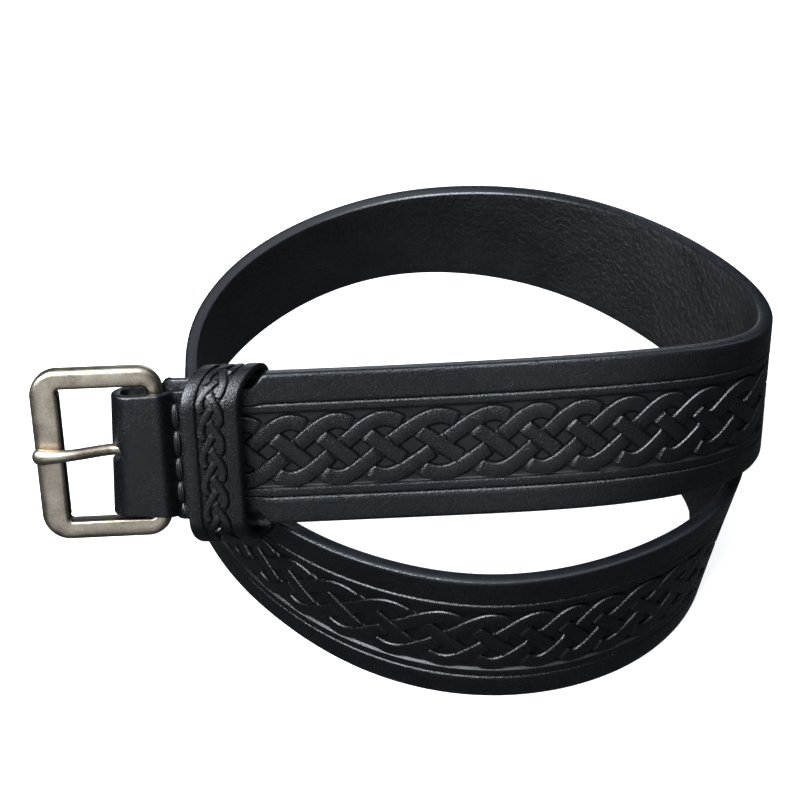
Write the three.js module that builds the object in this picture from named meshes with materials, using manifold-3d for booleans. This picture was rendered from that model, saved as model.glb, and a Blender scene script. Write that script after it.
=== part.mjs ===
// Kilt belt: a wide leather strap standing on its edge in a loose coil, with a keeper loop,
// a cast buckle frame and a tongue. Millimetres, +Z up, the coil stands on z = 0.
import * as THREE from 'three';
import { mergeVertices } from 'three/addons/utils/BufferGeometryUtils.js';
import Module from 'manifold-3d';

const wasm = await Module();
wasm.setup();

// Coil
const coilWidth = 240;
const coilDepth = 240;

// Strap
const strapWidth = 57;
const strapThick = 5.5;
const edgeBevel = 0.9;
const stationStep = 6;

// Buckle end: the strap is pared thin, folded back round the heel bar and stitched down
const paredThick = 3.2;
const foldHalfWidth = 22.4;
const endHalfWidth = 23.6;
const flapHalfWidth = 26.6;
const flapLength = 36;
const layerGap = 0.3;
const buckleLift = 0.7;
const foldSkew = 0.06;
const shoulderStart = 48;
const shoulderEnd = 54;
const paringStart = 34;
const paringEnd = 47;

// Free end: narrowed to pass the buckle, with punched holes and a rounded tip
const tailNarrowLength = 134;
const tailShoulderLength = 9;
const tailSideClear = 1;
const tipLength = 24;
const tipBlunt = 0.93;
const holeCount = 5;
const holeFirst = 38;
const holePitch = 20;
const holeRadius = 2.75;

// Keeper loop
const keeperWidth = 19.8;
const keeperThick = 2.5;
const keeperCentre = 34.3;
const keeperSkew = 0.6;
const keeperClear = 1.4;
const keeperSideClear = 1.8;
const keeperDrop = 1.3;
const keeperFrontRadius = 12.3;
const keeperBackRadius = 6;

// Buckle frame
const frameLeft = 28;
const frontBarWidth = 10;
const sideBarWidth = 7.3;
const frameThick = 6;
const heelRadius = 2.8;
const heelOffset = 15.2;
const heelNeckRadius = 1.7;
const frameCornerRadius = 5.5;

// Tongue
const tongueRadius = 2.1;
const tongueTipHalfWidth = 2.9;
const tongueEyeWall = 1.3;
const tongueEyeWidth = 5.4;
const tongueHeight = 2;
const slotClear = 1;
const slotAngle = 62;

// Clearances between pieces
const seatGap = 0.3;
const turnGap = 0.3;
const heelClear = 0.8;
const foldSideClear = 2.2;

// Control stations of the strap's mid line. across and back are shares of the coil's width and
// depth, rise is a share of the strap's width, lean is the outward tilt of its top in degrees.
const stations = [
  { across: -0.8125, back: -0.6, rise: 1.55, lean: -19.5 },
  { across: -0.55, back: -0.5825, rise: 1.55, lean: -19.5 },
  { across: -0.2875, back: -0.565, rise: 1.55, lean: -19.5 },
  { across: -0.025, back: -0.5475, rise: 1.55, lean: -21 },
  { across: 0.235, back: -0.5625, rise: 1.69, lean: -20 },
  { across: 0.463, back: -0.49, rise: 1.645, lean: -4.5 },
  { across: 0.394, back: -0.225, rise: 1.54, lean: 2 },
  { across: 0.184, back: 0.09, rise: 1.345, lean: -12 },
  { across: -0.155, back: 0.215, rise: 1.14, lean: -25 },
  { across: -0.425, back: 0.075, rise: 0.925, lean: -15 },
  { across: -0.536, back: -0.16, rise: 0.71, lean: -8 },
  { across: -0.46, back: -0.4, rise: 0.495, lean: -3 },
  { across: -0.34, back: -0.57, rise: 0.495, lean: 3 },
  { across: -0.175, back: -0.685, rise: 0.495, lean: -3 },
  { across: 0.02, back: -0.73, rise: 0.495, lean: -4 },
  { across: 0.23, back: -0.67, rise: 0.495, lean: -5 },
  { across: 0.392, back: -0.52, rise: 0.495, lean: 8 },
  { across: 0.422, back: -0.27, rise: 0.495, lean: 13 },
  { across: 0.305, back: -0.18, rise: 0.495, lean: 8 },
  { across: 0.15, back: -0.235, rise: 0.495, lean: 0 },
  { across: -0.02, back: -0.3, rise: 0.495, lean: 0 },
  { across: -0.19, back: -0.34, rise: 0.495, lean: 0 },
];
const spans = stations.length - 3;
const samplesPerSpan = 60;

const leather = new THREE.MeshStandardMaterial({ color: 0x16181c, roughness: 0.5, metalness: 0 });
const nickel = new THREE.MeshStandardMaterial({ color: 0x8f8676, roughness: 0.38, metalness: 1 });

const mix = (a, b, t) => a + (b - a) * t;

function ramp(value, from, to) {
  return THREE.MathUtils.smoothstep(value, from, to);
}

// Uniform cubic B-spline through the control stations

function controlPoint(index) {
  const row = stations[index];
  return new THREE.Vector3(row.across * coilWidth, row.back * coilDepth, row.rise * strapWidth);
}

function splineWeights(t) {
  return [(1 - t) ** 3, 3 * t ** 3 - 6 * t ** 2 + 4, -3 * t ** 3 + 3 * t ** 2 + 3 * t + 1, t ** 3]
    .map((weight) => weight / 6);
}

function splineSlopes(t) {
  return [-((1 - t) ** 2), 3 * t ** 2 - 4 * t, -3 * t ** 2 + 2 * t + 1, t ** 2].map((slope) => slope / 2);
}

// The strap's frame at a place on the spline: its middle, the way it runs, the way its width
// goes up, and the way its face looks.
function frameAtParameter(u) {
  const span = Math.min(Math.floor(u), spans - 1);
  const weights = splineWeights(u - span);
  const slopes = splineSlopes(u - span);
  const middle = new THREE.Vector3();
  const along = new THREE.Vector3();
  let lean = 0;
  for (let k = 0; k < 4; k += 1) {
    const point = controlPoint(span + k);
    middle.addScaledVector(point, weights[k]);
    along.addScaledVector(point, slopes[k]);
    lean += weights[k] * THREE.MathUtils.degToRad(stations[span + k].lean);
  }
  along.normalize();
  const up = new THREE.Vector3(0, 0, 1);
  up.addScaledVector(along, -up.dot(along)).normalize();
  const outward = along.clone().cross(up);
  const wide = up.clone().multiplyScalar(Math.cos(lean)).addScaledVector(outward, Math.sin(lean));
  const face = outward.clone().multiplyScalar(Math.cos(lean)).addScaledVector(up, -Math.sin(lean));
  return { middle, along, wide, face };
}

// Length along the strap, so that a place on it can be given in millimetres from the fold

const sampleCount = spans * samplesPerSpan;
const lengthAt = [0];
for (let i = 1; i <= sampleCount; i += 1) {
  const before = frameAtParameter((i - 1) / samplesPerSpan).middle;
  const here = frameAtParameter(i / samplesPerSpan).middle;
  lengthAt.push(lengthAt[i - 1] + here.distanceTo(before));
}
const strapLength = lengthAt[sampleCount];

function frameAtLength(distance) {
  const wanted = THREE.MathUtils.clamp(distance, 0, strapLength);
  let low = 0;
  let high = sampleCount;
  while (high - low > 1) {
    const half = Math.floor((low + high) / 2);
    if (lengthAt[half] > wanted) {
      high = half;
    } else {
      low = half;
    }
  }
  const part = (wanted - lengthAt[low]) / (lengthAt[high] - lengthAt[low]);
  return frameAtParameter((low + part) / samplesPerSpan);
}

// Solid from a row of rings with equal numbers of points, closed into a loop or capped at the
// ends, and turned the right way out
function loft(rings, isLoop) {
  const sides = rings[0].length;
  const points = rings.flat();
  const faces = [];
  const joins = isLoop ? rings.length : rings.length - 1;
  for (let i = 0; i < joins; i += 1) {
    const here = i * sides;
    const next = ((i + 1) % rings.length) * sides;
    for (let k = 0; k < sides; k += 1) {
      const after = (k + 1) % sides;
      faces.push([here + k, here + after, next + after]);
      faces.push([here + k, next + after, next + k]);
    }
  }
  if (!isLoop) {
    const last = (rings.length - 1) * sides;
    for (let k = 1; k < sides - 1; k += 1) {
      faces.push([0, k + 1, k]);
      faces.push([last, last + k, last + k + 1]);
    }
  }
  const volume = faces.reduce((sum, [a, b, c]) => (
    sum + points[a].dot(points[b].clone().cross(points[c]))
  ), 0);
  const indices = faces.flatMap(([a, b, c]) => (volume > 0 ? [a, b, c] : [a, c, b]));
  const geometry = new THREE.BufferGeometry();
  const positions = points.flatMap((point) => point.toArray());
  geometry.setAttribute('position', new THREE.Float32BufferAttribute(positions, 3));
  geometry.setIndex(indices);
  return geometry;
}

function toManifold(geometry) {
  const bare = geometry.clone();
  bare.deleteAttribute('normal');
  bare.deleteAttribute('uv');
  const merged = mergeVertices(bare, 1e-4);
  return new wasm.Manifold(new wasm.Mesh({
    numProp: 3,
    vertProperties: new Float32Array(merged.attributes.position.array),
    triVerts: new Uint32Array(merged.index.array),
  }));
}

function fromManifold(solid) {
  const mesh = solid.getMesh();
  const geometry = new THREE.BufferGeometry();
  geometry.setAttribute('position', new THREE.Float32BufferAttribute(mesh.vertProperties, 3));
  geometry.setIndex(Array.from(mesh.triVerts));
  return geometry;
}

// Section of the strap: bevelled corners, measured from a point on its outer face
function strapSection(facePoint, wide, outward, half, thick) {
  const bevel = Math.min(edgeBevel, thick / 3);
  const corners = [
    [-half, -bevel], [-half + bevel, 0], [half - bevel, 0], [half, -bevel],
    [half, -thick + bevel], [half - bevel, -thick], [-half + bevel, -thick], [-half, -thick + bevel],
  ];
  return corners.map(([across, depth]) => {
    const point = facePoint.clone().addScaledVector(wide, across).addScaledVector(outward, depth);
    point.z = Math.max(point.z, 0);
    return point;
  });
}

// Buckle end, in the flat stretch's own axes: x along the strap from the fold, z out of its face

const bucklePlane = strapThick / 2 - paredThick - layerGap / 2;
const closedReach = (paredThick + layerGap) / 2;
const openReach = heelRadius + heelClear + paredThick / 2;
const foldRadius = openReach + paredThick / 2;
const pinchStart = heelOffset + heelRadius / 3;
const pinchEnd = pinchStart + 2.2 * heelRadius;
const buckleFrame = frameAtParameter(0);
const frameOpeningHalf = foldHalfWidth + foldSideClear;
const tailHalfWidth = frameOpeningHalf - tailSideClear;
const tonguePlace = tongueHeight - buckleLift;

function layerReach(x) {
  return mix(openReach, closedReach, ramp(x, pinchStart, pinchEnd));
}

function inBuckleAxes(x, z) {
  return buckleFrame.middle.clone().addScaledVector(buckleFrame.along, x).addScaledVector(buckleFrame.face, z);
}

// The fold sits a little above the strap's middle and slightly out of square: its lower end
// reaches further out. Both fade along the strap.
function setFold(point, wide, x) {
  const share = 1 - ramp(x, foldRadius, pinchStart);
  const lift = buckleLift * (1 - ramp(x, foldRadius, shoulderStart / 2));
  point.addScaledVector(buckleFrame.wide, lift);
  point.addScaledVector(buckleFrame.along, -foldSkew * foldHalfWidth * share);
  return wide.clone().addScaledVector(buckleFrame.along, foldSkew * share);
}

function flapRings() {
  const rings = [];
  const steps = 16;
  const outward = buckleFrame.face.clone().negate();
  for (let i = 0; i < steps; i += 1) {
    const x = mix(flapLength, foldRadius, i / steps);
    const z = bucklePlane - layerReach(x) - paredThick / 2;
    const wings = ramp(x, heelOffset + heelRadius / 5, heelOffset + 1.6 * heelRadius);
    const point = inBuckleAxes(x, z);
    const wide = setFold(point, buckleFrame.wide, x);
    rings.push(strapSection(point, wide, outward, mix(foldHalfWidth, flapHalfWidth, wings), paredThick));
  }
  return rings;
}

function foldRings() {
  const rings = [];
  const steps = 12;
  for (let i = 0; i <= steps; i += 1) {
    const angle = mix(-Math.PI / 2, Math.PI / 2, i / steps);
    const x = foldRadius * (1 - Math.cos(angle));
    const z = bucklePlane + foldRadius * Math.sin(angle);
    const outward = buckleFrame.along.clone().multiplyScalar(-Math.cos(angle));
    outward.addScaledVector(buckleFrame.face, Math.sin(angle));
    const point = inBuckleAxes(x, z);
    const wide = setFold(point, buckleFrame.wide, 0);
    rings.push(strapSection(point, wide, outward, foldHalfWidth, paredThick));
  }
  return rings;
}

// Half of the strap's width at a distance from the fold
function halfWidthAt(distance) {
  const taper = mix(foldHalfWidth, endHalfWidth, ramp(distance, foldRadius, shoulderStart / 2));
  const full = mix(taper, strapWidth / 2, ramp(distance, shoulderStart, shoulderEnd));
  const tailStart = strapLength - tailNarrowLength;
  const body = mix(full, tailHalfWidth, ramp(distance, tailStart, tailStart + tailShoulderLength));
  const tip = THREE.MathUtils.clamp((distance - strapLength + tipLength) / tipLength, 0, 1) * tipBlunt;
  return body * Math.sqrt(1 - tip ** 2);
}

function mainRings() {
  const places = [];
  for (let x = foldRadius + 2; x < shoulderEnd + 2; x += 2) {
    places.push(x);
  }
  const bodyLength = strapLength - tipLength - places[places.length - 1];
  const bodySteps = Math.round(bodyLength / stationStep);
  const bodyStart = places[places.length - 1];
  for (let i = 1; i <= bodySteps; i += 1) {
    places.push(bodyStart + (bodyLength * i) / bodySteps);
  }
  const tipSteps = 9;
  for (let i = 1; i <= tipSteps; i += 1) {
    places.push(strapLength - tipLength + tipLength * Math.sin((i / tipSteps) * (Math.PI / 2)));
  }
  return places.map((distance) => {
    const { middle, wide, face } = frameAtLength(distance);
    const rise = bucklePlane + layerReach(distance) + paredThick / 2;
    const thick = mix(paredThick, strapThick, ramp(distance, paringStart, paringEnd));
    const point = middle.addScaledVector(face, rise);
    return strapSection(point, setFold(point, wide, distance), face, halfWidthAt(distance), thick);
  });
}

// Slot for the tongue: a wedge cut through the fold, its ends square to the leather
function slotCutter() {
  const reach = foldRadius + 3;
  const angle = THREE.MathUtils.degToRad(slotAngle);
  const halfSlot = tongueRadius + slotClear;
  const shift = foldSkew * (tongueHeight - foldHalfWidth);
  const outline = [
    [foldRadius, 0],
    [foldRadius - reach * Math.cos(angle), reach * Math.sin(angle)],
    [-reach, reach * Math.sin(angle)],
    [-reach, -reach * Math.sin(angle)],
    [foldRadius - reach * Math.cos(angle), -reach * Math.sin(angle)],
  ];
  return loft([-halfSlot, halfSlot].map((across) => outline.map(([x, z]) => (
    inBuckleAxes(x + shift, bucklePlane + z).addScaledVector(buckleFrame.wide, tongueHeight + across)
  ))), false);
}

function holeCutter(fromTip) {
  const { middle, along, wide, face } = frameAtLength(strapLength - fromTip);
  const geometry = new THREE.CylinderGeometry(holeRadius, holeRadius, 3 * strapThick, 12);
  geometry.applyMatrix4(new THREE.Matrix4().makeBasis(along, face, wide.negate()));
  return geometry.translate(middle.x, middle.y, middle.z);
}

function strapGeometry() {
  let solid = toManifold(loft([...flapRings(), ...foldRings(), ...mainRings()], false));
  solid = solid.subtract(toManifold(slotCutter()));
  for (let i = 0; i < holeCount; i += 1) {
    solid = solid.subtract(toManifold(holeCutter(holeFirst + i * holePitch)));
  }
  return fromManifold(solid);
}

// Points of a rounded rectangle, counter-clockwise from its right side, a radius for each corner
function roundedRectangle(left, right, bottom, top, radii, cornerSteps) {
  const corners = [
    [right - radii[0], top - radii[0], radii[0], 0],
    [left + radii[1], top - radii[1], radii[1], 90],
    [left + radii[2], bottom + radii[2], radii[2], 180],
    [right - radii[3], bottom + radii[3], radii[3], 270],
  ];
  return corners.flatMap(([centreX, centreY, radius, start]) => (
    Array.from({ length: cornerSteps + 1 }, (_, i) => {
      const angle = THREE.MathUtils.degToRad(start + (90 * i) / cornerSteps);
      const normal = new THREE.Vector2(Math.cos(angle), Math.sin(angle));
      return { x: centreX + radius * normal.x, y: centreY + radius * normal.y, normal };
    })
  ));
}

// Keeper: a leather band round the strap. It hangs from the strap's upper edge, askew, so its
// loop is set lower than the strap and sheared along it.
function keeperGeometry() {
  const back = bucklePlane - closedReach - paredThick / 2 - seatGap - keeperThick;
  const front = strapThick / 2 + strapThick + keeperClear + keeperThick;
  const half = strapWidth / 2 + keeperSideClear + keeperThick;
  const radii = [keeperFrontRadius, keeperBackRadius, keeperBackRadius, keeperFrontRadius];
  const outline = roundedRectangle(back, front, -half, half, radii, 6);
  const bevel = keeperThick / 4;
  const halfBand = keeperWidth / 2;
  const section = [
    [-halfBand + bevel, 0], [halfBand - bevel, 0], [halfBand, -bevel], [halfBand, -keeperThick + bevel],
    [halfBand - bevel, -keeperThick], [-halfBand + bevel, -keeperThick],
    [-halfBand, -keeperThick + bevel], [-halfBand, -bevel],
  ];
  const rings = outline.map(({ x: depth, y: height, normal }) => section.map(([along, offset]) => {
    const z = depth + normal.x * offset;
    const y = height + normal.y * offset - keeperDrop;
    return new THREE.Vector3(keeperCentre + along - keeperSkew * (z - front), y, z);
  }));
  return loft(rings, true);
}

// Buckle frame about its heel bar: x along the strap, y along the heel, z out of the face.
// Each side of the outline has its own width, and the heel is round with a neck for the tongue.
function frameGeometry() {
  const left = -frameLeft - heelOffset + frontBarWidth / 2;
  const top = frameOpeningHalf + sideBarWidth / 2;
  const radii = [frameCornerRadius, frameCornerRadius, frameCornerRadius, frameCornerRadius];
  const cornerSteps = 6;
  const outline = roundedRectangle(left, 0, -top, top, radii, cornerSteps);
  const halfWidths = { heel: heelRadius, side: sideBarWidth / 2, front: frontBarWidth / 2 };
  const sides = ['heel', 'side', 'front', 'side', 'heel'];
  const rings = outline.map(({ x, y, normal }, index) => {
    const corner = Math.floor(index / (cornerSteps + 1));
    const turn = (index % (cornerSteps + 1)) / cornerSteps;
    const half = mix(halfWidths[sides[corner]], halfWidths[sides[corner + 1]], turn);
    const halfThick = mix(
      sides[corner] === 'heel' ? heelRadius : frameThick / 2,
      sides[corner + 1] === 'heel' ? heelRadius : frameThick / 2,
      turn,
    );
    return frameSection(x, y, normal, half, halfThick);
  });
  const neckEdge = tongueEyeWidth / 2 + turnGap;
  const heelRings = [
    [-neckEdge - turnGap, heelRadius], [-neckEdge, heelNeckRadius],
    [neckEdge, heelNeckRadius], [neckEdge + turnGap, heelRadius],
  ].map(([y, radius]) => frameSection(0, tonguePlace + y, new THREE.Vector2(1, 0), radius, radius));
  return loft([...rings, ...heelRings], true);
}

function frameSection(x, y, normal, half, halfThick) {
  const sides = 10;
  return Array.from({ length: sides }, (_, k) => {
    const angle = (2 * Math.PI * k) / sides;
    const offset = half * Math.cos(angle);
    return new THREE.Vector3(x + normal.x * offset, y + normal.y * offset, halfThick * Math.sin(angle));
  });
}

// Tongue about the heel bar: an eye, a level root through the slot, a rise on to the front bar
// and a wide tip bent down over it.
function tongueGeometry() {
  const rest = frameThick / 2 + seatGap + tongueRadius;
  const frontBar = -frameLeft - heelOffset + frontBarWidth / 2;
  const slotEdge = -heelOffset;
  const shape = [
    { x: -heelNeckRadius - turnGap - tongueEyeWall / 2, z: 0, wide: 1, thick: 1 },
    { x: slotEdge, z: 0, wide: 1, thick: 1 },
    { x: mix(slotEdge, frontBar, 0.2), z: 0.1 * rest, wide: 1, thick: 1 },
    { x: mix(slotEdge, frontBar, 0.4), z: 0.4 * rest, wide: 1, thick: 1 },
    { x: mix(slotEdge, frontBar, 0.6), z: 0.78 * rest, wide: 1, thick: 1 },
    { x: mix(slotEdge, frontBar, 0.8), z: 0.97 * rest, wide: 1.08, thick: 1 },
    { x: frontBar, z: rest, wide: 1.25, thick: 0.98 },
    { x: frontBar - frontBarWidth * 0.22, z: 0.98 * rest, wide: tongueTipHalfWidth / tongueRadius, thick: 0.95 },
    { x: frontBar - frontBarWidth * 0.38, z: 0.88 * rest, wide: 1.3, thick: 0.85 },
    { x: frontBar - frontBarWidth * 0.46, z: 0.72 * rest, wide: 0.9, thick: 0.6 },
  ];
  const sides = 10;
  const rings = shape.map((row, index) => {
    const before = shape[Math.max(index - 1, 0)];
    const after = shape[Math.min(index + 1, shape.length - 1)];
    const slope = Math.atan2(after.z - before.z, before.x - after.x);
    return Array.from({ length: sides }, (_, k) => {
      const angle = (2 * Math.PI * k) / sides;
      const up = tongueRadius * row.thick * Math.sin(angle);
      return new THREE.Vector3(
        row.x + up * Math.sin(slope),
        tongueRadius * row.wide * Math.cos(angle),
        row.z + up * Math.cos(slope),
      );
    });
  });
  const eyeInner = heelNeckRadius + turnGap;
  const eyeOuter = eyeInner + tongueEyeWall;
  const eyeSection = [
    [eyeInner, -1], [eyeOuter, -1], [eyeOuter, 1], [eyeInner, 1],
  ];
  const eyeRings = Array.from({ length: 20 }, (_, i) => {
    const angle = (2 * Math.PI * i) / 20;
    return eyeSection.map(([radius, side]) => new THREE.Vector3(
      radius * Math.cos(angle),
      (side * tongueEyeWidth) / 2,
      radius * Math.sin(angle),
    ));
  });
  const shank = toManifold(loft(rings, false));
  const eye = toManifold(loft(eyeRings, true));
  return fromManifold(shank.add(eye)).translate(0, tonguePlace, 0);
}

function namedMesh(name, geometry, material) {
  const mesh = new THREE.Mesh(geometry, material);
  mesh.name = name;
  return mesh;
}

// The buckle end's axes carry the keeper, and the heel bar's axes carry the frame and tongue

const buckleEnd = new THREE.Group();
const basis = new THREE.Matrix4().makeBasis(buckleFrame.along, buckleFrame.wide, buckleFrame.face);
buckleEnd.quaternion.setFromRotationMatrix(basis);
buckleEnd.position.copy(buckleFrame.middle);

const heel = new THREE.Group();
heel.position.set(heelOffset, buckleLift, bucklePlane);
heel.add(namedMesh('buckle_frame', frameGeometry(), nickel));
heel.add(namedMesh('tongue', tongueGeometry(), nickel));
buckleEnd.add(namedMesh('keeper', keeperGeometry(), leather), heel);

const belt = new THREE.Group();
belt.add(namedMesh('strap', strapGeometry(), leather), buckleEnd);

// The origin is the centre of the base of the belt's own box
const bounds = new THREE.Box3().setFromObject(belt, true);
const boundsMiddle = bounds.getCenter(new THREE.Vector3());
belt.position.set(-boundsMiddle.x, -boundsMiddle.y, -bounds.min.z);

export default belt;
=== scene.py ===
"""A kilt belt's looks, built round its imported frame.

Lengths are in millimetres in the belt's own layout, and become metres where a mesh is made.
"""

import math
from collections import namedtuple

import bmesh
import bpy
import numpy as np
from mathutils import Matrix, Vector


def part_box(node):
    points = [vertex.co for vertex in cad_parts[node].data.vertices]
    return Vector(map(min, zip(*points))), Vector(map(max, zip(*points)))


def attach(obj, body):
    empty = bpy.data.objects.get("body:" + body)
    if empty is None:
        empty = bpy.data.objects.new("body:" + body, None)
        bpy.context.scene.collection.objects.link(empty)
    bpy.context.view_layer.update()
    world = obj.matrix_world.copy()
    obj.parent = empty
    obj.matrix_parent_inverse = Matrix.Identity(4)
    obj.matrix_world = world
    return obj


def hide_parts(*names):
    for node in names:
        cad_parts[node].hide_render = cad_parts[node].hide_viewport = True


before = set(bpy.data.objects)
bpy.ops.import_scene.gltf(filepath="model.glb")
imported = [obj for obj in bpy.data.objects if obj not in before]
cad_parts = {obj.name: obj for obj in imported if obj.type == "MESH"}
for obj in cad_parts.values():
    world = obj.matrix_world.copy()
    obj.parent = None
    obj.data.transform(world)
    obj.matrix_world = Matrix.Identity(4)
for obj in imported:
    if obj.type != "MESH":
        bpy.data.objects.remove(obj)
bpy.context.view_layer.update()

# Coil and strap
COIL_WIDTH = 240
COIL_DEPTH = 240
STRAP_WIDTH = 57
STRAP_THICK = 5.5

# Buckle end
PARED_THICK = 3.2
FOLD_HALF_WIDTH = 22.4
END_HALF_WIDTH = 23.6
FLAP_HALF_WIDTH = 26.6
FLAP_LENGTH = 36
LAYER_GAP = 0.3
BUCKLE_LIFT = 0.7
FOLD_SKEW = 0.06
SHOULDER_START = 48
SHOULDER_END = 54
PARING_START = 34
PARING_END = 47

# Free end
TAIL_NARROW_LENGTH = 134
TAIL_SHOULDER_LENGTH = 9
TAIL_HALF_WIDTH = 23.6
TIP_LENGTH = 24
TIP_BLUNT = 0.93
HOLE_COUNT = 5
HOLE_FIRST = 38
HOLE_PITCH = 20
HOLE_RADIUS = 2.75

# Keeper
KEEPER_WIDTH = 19.8
KEEPER_THICK = 2.5
KEEPER_CENTRE = 34.3
KEEPER_SKEW = 0.6
KEEPER_CLEAR = 1.4
KEEPER_SIDE_CLEAR = 1.8
KEEPER_DROP = 1.3
KEEPER_FRONT_RADIUS = 12.3
KEEPER_BACK_RADIUS = 6

# Buckle and tongue
FRAME_LEFT = 28
FRONT_BAR_WIDTH = 10
SIDE_BAR_WIDTH = 7.3
FRAME_THICK = 6
HEEL_RADIUS = 2.8
HEEL_OFFSET = 15.2
HEEL_NECK_RADIUS = 1.7
FRAME_CORNER_RADIUS = 5.5
FOLD_SIDE_CLEAR = 2.2
TONGUE_RADIUS = 2.1
TONGUE_EYE_WALL = 1.3
TONGUE_EYE_WIDTH = 5.4
TONGUE_HEIGHT = 2
SLOT_CLEAR = 1
SLOT_ANGLE = 62
SEAT_GAP = 0.3
TURN_GAP = 0.3
HEEL_CLEAR = 0.8

# Embossing: heights across the strap's face, and depths under it
PLAIT_START = 43
PLAIT_END = 915
PANEL_LOW = -14.4
PANEL_HIGH = 14.0
PANEL_DEPTH = 1.15
GROOVE_LOW = -18.0
GROOVE_HIGH = 17.5
GROOVE_DEPTH = 0.7
PLAIT_MIDDLE = -0.7
PLAIT_REACH = 10.8
PLAIT_PITCH = 17
RIBBON_WIDTH = 5.8
RIBBON_TOP = 0.05
RIBBON_DIP = 0.55
WIDEST_CROSSING = 3.4
CREASE_WIDTH = 0.5
STITCH_LINE = 21.8
STITCH_HOLES = (19.0, 9.0, -1.2, -10.3, -19.2)

# The plait's stretches from its first upper arc on: how many arcs each has, and their pitch
PlaitStretch = namedtuple("PlaitStretch", "arcs pitch")
FIRST_ARC = 45
PLAIT_STRETCHES = [
    PlaitStretch(3, 16.5),
    PlaitStretch(2, 20),
    PlaitStretch(3, 16),
    PlaitStretch(3, 14),
    PlaitStretch(29, PLAIT_PITCH),
    PlaitStretch(3, 20),
    PlaitStretch(2, 17),
    PlaitStretch(2, 13),
    PlaitStretch(6, PLAIT_PITCH),
]

# The strap's mid line: across and back as shares of the coil's width and depth, rise as a share
# of the strap's width, lean as the outward tilt of its top in degrees
Station = namedtuple("Station", "across back rise lean")
STATIONS = [
    Station(-0.8125, -0.6, 1.55, -19.5),
    Station(-0.55, -0.5825, 1.55, -19.5),
    Station(-0.2875, -0.565, 1.55, -19.5),
    Station(-0.025, -0.5475, 1.55, -21),
    Station(0.235, -0.5625, 1.69, -20),
    Station(0.463, -0.49, 1.645, -4.5),
    Station(0.394, -0.225, 1.54, 2),
    Station(0.184, 0.09, 1.345, -12),
    Station(-0.155, 0.215, 1.14, -25),
    Station(-0.425, 0.075, 0.925, -15),
    Station(-0.536, -0.16, 0.71, -8),
    Station(-0.46, -0.4, 0.495, -3),
    Station(-0.34, -0.57, 0.495, 3),
    Station(-0.175, -0.685, 0.495, -3),
    Station(0.02, -0.73, 0.495, -4),
    Station(0.23, -0.67, 0.495, -5),
    Station(0.392, -0.52, 0.495, 8),
    Station(0.422, -0.27, 0.495, 13),
    Station(0.305, -0.18, 0.495, 8),
    Station(0.15, -0.235, 0.495, 0),
    Station(-0.02, -0.3, 0.495, 0),
    Station(-0.19, -0.34, 0.495, 0),
]
SPANS = len(STATIONS) - 3
SAMPLES_PER_SPAN = 60


def smoothstep(value, start, end):
    share = np.clip((np.asarray(value, float) - start) / (end - start), 0, 1)
    return share * share * (3 - 2 * share)


def mix(a, b, share):
    return a + (b - a) * share


def unit(vectors):
    return vectors / np.linalg.norm(vectors, axis=-1, keepdims=True)


# The strap's path

def coil_at(parameter):
    """Middle, run, width and face directions of the strap where the spline has this parameter."""
    parameter = np.clip(np.atleast_1d(parameter).astype(float), 0, SPANS)
    span = np.minimum(parameter.astype(int), SPANS - 1)
    t = parameter - span
    weights = np.stack([
        (1 - t) ** 3, 3 * t ** 3 - 6 * t ** 2 + 4, -3 * t ** 3 + 3 * t ** 2 + 3 * t + 1, t ** 3,
    ]) / 6
    slopes = np.stack([
        -((1 - t) ** 2), 3 * t ** 2 - 4 * t, -3 * t ** 2 + 2 * t + 1, t ** 2,
    ]) / 2
    places = np.array([
        (s.across * COIL_WIDTH, s.back * COIL_DEPTH, s.rise * STRAP_WIDTH) for s in STATIONS
    ])
    leans = np.radians([s.lean for s in STATIONS])
    picks = span + np.arange(4)[:, None]
    middle = np.einsum("kn,knc->nc", weights, places[picks])
    along = unit(np.einsum("kn,knc->nc", slopes, places[picks]))
    lean = np.einsum("kn,kn->n", weights, leans[picks])[:, None]
    up = np.array([0.0, 0.0, 1.0]) - along[:, 2:3] * along
    up = unit(up)
    outward = np.cross(along, up)
    wide = np.cos(lean) * up + np.sin(lean) * outward
    face = np.cos(lean) * outward - np.sin(lean) * up
    return middle, along, wide, face


coil_parameters = np.linspace(0, SPANS, SPANS * SAMPLES_PER_SPAN + 1)
coil_steps = np.linalg.norm(np.diff(coil_at(coil_parameters)[0], axis=0), axis=1)
coil_lengths = np.concatenate([[0], np.cumsum(coil_steps)])
STRAP_LENGTH = coil_lengths[-1]


def coil_at_length(distance):
    return coil_at(np.interp(distance, coil_lengths, coil_parameters))


# Buckle end: a flat stretch whose own axes are x along the strap, y up its width, z off its face

end_middle, end_along, end_wide, end_face = (value[0] for value in coil_at(0))
BUCKLE_PLANE = STRAP_THICK / 2 - PARED_THICK - LAYER_GAP / 2
CLOSED_REACH = (PARED_THICK + LAYER_GAP) / 2
OPEN_REACH = HEEL_RADIUS + HEEL_CLEAR + PARED_THICK / 2
FOLD_RADIUS = OPEN_REACH + PARED_THICK / 2
FOLD_QUARTER = FOLD_RADIUS * math.pi / 2
PINCH_START = HEEL_OFFSET + HEEL_RADIUS / 3
PINCH_END = PINCH_START + 2.2 * HEEL_RADIUS
FRAME_OPENING_HALF = FOLD_HALF_WIDTH + FOLD_SIDE_CLEAR
TONGUE_PLACE = TONGUE_HEIGHT - BUCKLE_LIFT


def from_buckle_end(x, y, z):
    """Place of a point given in the buckle end's own axes."""
    x, y, z = (np.asarray(value, float)[..., None] for value in (x, y, z))
    return end_middle + x * end_along + y * end_wide + z * end_face


def layer_reach(x):
    return mix(OPEN_REACH, CLOSED_REACH, smoothstep(x, PINCH_START, PINCH_END))


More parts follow.
